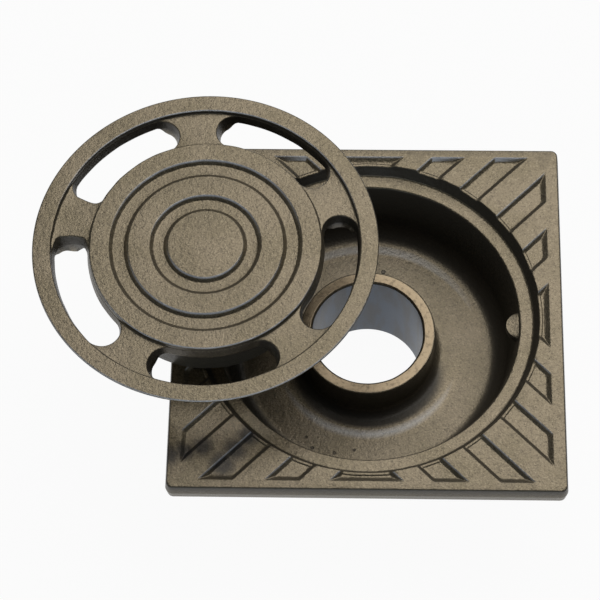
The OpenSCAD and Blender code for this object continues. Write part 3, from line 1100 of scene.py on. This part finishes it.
def sand_cast_iron_bronze_lacquer(tree, place, p):
    """Sand-cast grey iron dipped in bronze-brown lacquer: a satin metal with a sandy grain.

    The tops show the grain of the sand. The wall attribute lays painted shade on steep walls,
    corners and the bowl's floor, almost black, and painted bluish highlights on near shoulders;
    the walls shine bluish where they catch a light.
    """
    # Clouds of thicker and thinner lacquer, 26 mm across
    cloud = add_node(tree, "ShaderNodeTexNoise", grains(place, 26.0, 3.0, 0.55))
    # Moulding sand leaves grains of 0.3 to 0.5 mm; they are drawn 0.9 mm wide, to show
    grain = add_node(tree, "ShaderNodeTexNoise", grains(place, 0.9, 2.0, 0.6))
    coarse = add_node(tree, "ShaderNodeTexNoise", grains(place, 2.6, 2.0, 0.55))
    waves = add_node(tree, "ShaderNodeTexNoise", grains(place, 9.0, 2.0, 0.55))
    # The spots are ragged: a noise 2.5 mm across shifts their edges by up to 1 mm
    rag = add_node(tree, "ShaderNodeTexNoise", grains(place, 2.5, 2.0, 0.55))
    shift = add_node(tree, "ShaderNodeVectorMath",
                     {0: rag.outputs["Color"], 1: (0.5, 0.5, 0.5)}, operation="SUBTRACT")
    ragged = add_node(tree, "ShaderNodeVectorMath",
                      {0: shift.outputs[0], 1: (3.0 * MM,) * 3, 2: place},
                      operation="MULTIPLY_ADD").outputs[0]
    # Stains, with a painted shadow of the cover
    stain = spots(tree, ragged, STAINS_AND_SHADOW, 6.0)
    pit = spots(tree, place, PITS, 0.5)
    nick = spots(tree, place, NICKS, 0.4)
    # The wall attribute holds painted shade from 0 to 1, and painted highlights below 0
    wall = add_node(tree, "ShaderNodeAttribute", attribute_name="wall").outputs["Fac"]
    worn = add_node(tree, "ShaderNodeMath", {0: wall, 1: -1.0}, operation="MULTIPLY",
                    use_clamp=True).outputs[0]
    steps = {}
    for key, source, low, high in (("cloud", cloud, 0.35, 0.65), ("dark", grain, 0.46, 0.3),
                                   ("light", grain, 0.54, 0.7), ("patch", coarse, 0.52, 0.75)):
        steps[key] = add_node(tree, "ShaderNodeMapRange",
                              {"Value": source.outputs["Fac"], "From Min": low, "From Max": high},
                              interpolation_type="SMOOTHSTEP").outputs["Result"]
    tone = tuple(p.coat)
    # Each tone goes over those before it, as far as its share; wall lays the painted shade,
    # worn the painted highlights, and stain stains with a painted shadow
    for factor, share, shade in (
            (steps["cloud"], 1.0, p.coat_pale), (steps["patch"], 0.3, p.coat_dark),
            (steps["dark"], 0.55, p.coat_dark), (steps["light"], 0.5, p.coat_glint),
            (wall, 1.0, p.wall), (stain, 0.75, p.stain), (pit, 0.8, p.wall),
            (nick, 1.0, p.coat_glint), (worn, 1.0, p.worn)):
        if share < 1.0:
            factor = add_node(tree, "ShaderNodeMath", {0: factor, 1: share},
                              operation="MULTIPLY").outputs[0]
        tone = add_node(tree, "ShaderNodeMix", {0: factor, 6: tone, 7: tuple(shade)},
                        data_type="RGBA").outputs[2]
    rough = add_node(tree, "ShaderNodeMath",
                     {0: grain.outputs["Fac"], 1: 0.24, 2: 0.32}, operation="MULTIPLY_ADD")
    painted = add_node(tree, "ShaderNodeMath", {0: wall}, operation="ABSOLUTE").outputs[0]
    metal = add_node(tree, "ShaderNodeMath", {0: painted, 1: -0.75, 2: 0.9},
                     operation="MULTIPLY_ADD")
    gloss = add_node(tree, "ShaderNodeMath", {0: wall, 1: -0.3, 2: 0.5},
                     operation="MULTIPLY_ADD")
    normal = None
    for source, depth, strength in (
            (waves.outputs["Fac"], 0.2, 0.5), (coarse.outputs["Fac"], 0.3, 0.9),
            (grain.outputs["Fac"], 0.2, 1.0), (pit, -0.5, 1.0)):
        facts = {"Strength": strength, "Distance": depth * MM, "Height": source}
        if normal is not None:
            facts["Normal"] = normal
        normal = add_node(tree, "ShaderNodeBump", facts).outputs[0]
    return add_node(tree, "ShaderNodeBsdfPrincipled",
                    {"Base Color": tone, "Roughness": rough.outputs[0],
                     "Metallic": metal.outputs[0], "Normal": normal,
                     "Specular IOR Level": gloss.outputs[0],
                     "Coat Weight": 0.25, "Coat Roughness": 0.28})


def turned_grey_iron_bare(tree, place, p):
    """Bare grey iron where the standpipe's rim was turned: bright, with fine rings and specks."""
    # Specks of coat left on the bare metal, 2 mm across
    speck = add_node(tree, "ShaderNodeTexNoise", grains(place, 2.0, 3.0, 0.6))
    # Turning marks, drawn 0.79 mm apart to show; a wave node makes 20 / tau rings a metre
    rings = add_node(tree, "ShaderNodeTexWave",
                     {"Vector": place, "Scale": math.tau / 20 / (0.79 * MM), "Distortion": 2.0},
                     wave_type="RINGS", rings_direction="Z")
    bare = add_node(tree, "ShaderNodeMapRange",
                    {"Value": speck.outputs["Fac"], "From Min": 0.3, "From Max": 0.52, "To Min": 0.5},
                    interpolation_type="SMOOTHSTEP")
    tone = add_node(tree, "ShaderNodeMix", {0: bare.outputs[0], 6: tuple(p.coat_dark),
                                            7: tuple(p.rim)}, data_type="RGBA")
    low = add_node(tree, "ShaderNodeBump",
                   {"Strength": 0.7, "Distance": 0.15 * MM, "Height": speck.outputs["Fac"]})
    top = add_node(tree, "ShaderNodeBump",
                   {"Strength": 0.5, "Distance": 0.03 * MM, "Height": rings.outputs["Fac"],
                    "Normal": low.outputs[0]})
    return add_node(tree, "ShaderNodeBsdfPrincipled",
                    {"Base Color": tone.outputs[2], "Roughness": 0.36, "Metallic": 0.9,
                     "Normal": top.outputs[0]})


def cast_grey_iron_thin_lacquer(tree, place, p):
    """Grey iron inside the outlet, thinly coated: blue-grey, with runs of lacquer down the wall."""
    # Runs of lacquer 7 mm wide and four times as long
    drawn = add_node(tree, "ShaderNodeMapping", {"Vector": place, "Scale": (1.0, 1.0, 0.25)})
    runs = add_node(tree, "ShaderNodeTexNoise", grains(drawn.outputs[0], 7.0, 4.0))
    grain = add_node(tree, "ShaderNodeTexNoise", grains(place, 1.0, 2.0))
    thin = add_node(tree, "ShaderNodeMapRange",
                    {"Value": runs.outputs["Fac"], "From Min": 0.36, "From Max": 0.6, "To Min": 0.45},
                    interpolation_type="SMOOTHSTEP")
    tone = add_node(tree, "ShaderNodeMix", {0: thin.outputs[0], 6: tuple(p.wall), 7: tuple(p.bore)},
                    data_type="RGBA")
    bump = add_node(tree, "ShaderNodeBump",
                    {"Strength": 0.6, "Distance": 0.12 * MM, "Height": grain.outputs["Fac"]})
    return add_node(tree, "ShaderNodeBsdfPrincipled",
                    {"Base Color": tone.outputs[2], "Roughness": 0.4, "Metallic": 0.6,
                     "Normal": bump.outputs[0]})


# Stage

# The point that the lamps face, and each lamp's name, size, place, power and tint
LAMP_AIM = (-0.03, 0.0, 0.07)
LAMPS = (
    ("softbox_back", (1.5, 1.5), (0.3, 0.75, 1.5), 14.4, (1.0, 0.97, 0.93)),
    ("low_fill_front", (1.6, 0.3), (-0.1, -1.6, 0.24), 4.8, (0.8, 0.9, 1.0)),
    ("low_fill_left", (1.6, 0.3), (-1.6, 0.0, 0.24), 1.3, (0.93, 0.96, 1.0)),
)


def area_light(name, size, place, energy, tint):
    """A soft rectangular lamp that faces the object."""
    data = bpy.data.lights.new(name, "AREA")
    data.shape = "RECTANGLE"
    data.size, data.size_y = size
    data.energy = energy
    data.color = tint
    light = bpy.data.objects.new(name, data)
    bpy.context.scene.collection.objects.link(light)
    light.location = place
    light.rotation_mode = "QUATERNION"
    light.rotation_quaternion = (Vector(LAMP_AIM) - Vector(place)).to_track_quat("-Z", "Y")


def white_board_painted(tree, place, p):
    """White painted board that camera, metal and glass see as white, with the object's shadow."""
    path = add_node(tree, "ShaderNodeLightPath").outputs
    seen = path["Is Camera Ray"]
    for other in ("Is Transmission Ray", "Is Glossy Ray"):
        seen = add_node(tree, "ShaderNodeMath", {0: seen, 1: path[other]}, operation="ADD",
                        use_clamp=True).outputs[0]
    # The rest of what is seen is the lit board, which takes the shadow
    share = add_node(tree, "ShaderNodeMath", {0: seen, 1: 0.95}, operation="MULTIPLY").outputs[0]
    board = add_node(tree, "ShaderNodeBsdfDiffuse", {"Color": tuple(p.table)})
    white = add_node(tree, "ShaderNodeEmission", {"Strength": 1.0})
    return add_node(tree, "ShaderNodeMixShader", {0: share, 1: board.outputs[0], 2: white.outputs[0]})


def make_stage(p):
    """Floor, world, lights and camera."""
    scene = bpy.context.scene
    plane = bpy.data.meshes.new("floor")
    half = 9.0
    corners = [(-half, -half, 0), (half, -half, 0), (half, half, 0), (-half, half, 0)]
    plane.from_pydata(corners, [], [(0, 1, 2, 3)])
    floor = bpy.data.objects.new("floor", plane)
    scene.collection.objects.link(floor)
    plane.materials.append(material(white_board_painted))
    world = bpy.data.worlds.new("white_room")
    scene.world = world
    world.use_nodes = True
    tree = world.node_tree
    tree.nodes.clear()
    room = add_node(tree, "ShaderNodeBackground", {"Color": (0.8, 0.9, 1.0, 1), "Strength": 0.07})
    add_node(tree, "ShaderNodeOutputWorld", {"Surface": room.outputs[0]})
    for lamp in LAMPS:
        area_light(*lamp)
    scene.view_settings.view_transform = "Standard"

    el, az, roll = (math.radians(v) for v in (p.elevation, p.azimuth, p.roll))
    back = Vector((-math.sin(az) * math.cos(el), -math.cos(az) * math.cos(el), math.sin(el)))
    right = (-back).cross(Vector((0, 0, 1))).normalized()
    up = right.cross(-back)
    side = right * math.cos(roll) + up * math.sin(roll)
    top = up * math.cos(roll) - right * math.sin(roll)
    turn = Matrix((side, top, back)).transposed()
    data = bpy.data.cameras.new("camera")
    data.lens = p.lens
    data.sensor_width = 36.0
    data.clip_start, data.clip_end = 0.05, 20.0
    camera = bpy.data.objects.new("camera", data)
    scene.collection.objects.link(camera)
    camera.rotation_mode = "QUATERNION"
    camera.rotation_quaternion = turn.to_quaternion()
    camera.location = Vector(p.target) + back * p.distance
    scene.camera = camera


# Add-on

class GULLY_OT_body(bpy.types.Operator):
    """Make the trap body"""

    bl_idname = "gully.body"
    bl_label = "Trap body"

    def execute(self, context):
        make_body(context.scene.gully_body)
        return {"FINISHED"}


class GULLY_OT_cover(bpy.types.Operator):
    """Make the bell cover"""

    bl_idname = "gully.cover"
    bl_label = "Bell cover"

    def execute(self, context):
        make_cover(context.scene.gully_cover)
        return {"FINISHED"}


class GULLY_OT_stage(bpy.types.Operator):
    """Make the floor, the lights and the camera"""

    bl_idname = "gully.stage"
    bl_label = "Stage"

    def execute(self, context):
        make_stage(context.scene.gully_stage)
        return {"FINISHED"}


class GULLY_PT_panel(bpy.types.Panel):
    """Sizes and actions of the gully trap"""

    bl_idname = "GULLY_PT_panel"
    bl_label = "Gully Trap"
    bl_space_type = "VIEW_3D"
    bl_region_type = "UI"
    bl_category = "Gully Trap"

    def draw(self, context):
        scene = context.scene
        for group, action in ((scene.gully_body, "gully.body"), (scene.gully_cover, "gully.cover"),
                              (scene.gully_finish, None), (scene.gully_stage, "gully.stage")):
            box = self.layout.box()
            for name in group.bl_rna.properties.keys():
                if name not in ("rna_type", "name"):
                    box.prop(group, name)
            if action:
                box.operator(action)


GROUPS = {"gully_body": GULLY_PG_body, "gully_cover": GULLY_PG_cover,
          "gully_finish": GULLY_PG_finish, "gully_stage": GULLY_PG_stage}
CLASSES = (*GROUPS.values(), GULLY_OT_body, GULLY_OT_cover, GULLY_OT_stage, GULLY_PT_panel)


def register():
    for cls in CLASSES:
        bpy.utils.register_class(cls)
    for name, group in GROUPS.items():
        setattr(bpy.types.Scene, name, PointerProperty(type=group))


def unregister():
    for name in GROUPS:
        delattr(bpy.types.Scene, name)
    for cls in reversed(CLASSES):
        bpy.utils.unregister_class(cls)


def main():
    register()
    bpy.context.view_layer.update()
    bpy.ops.gully.body()
    bpy.ops.gully.cover()
    bpy.ops.gully.stage()


if __name__ == "__main__":
    main()
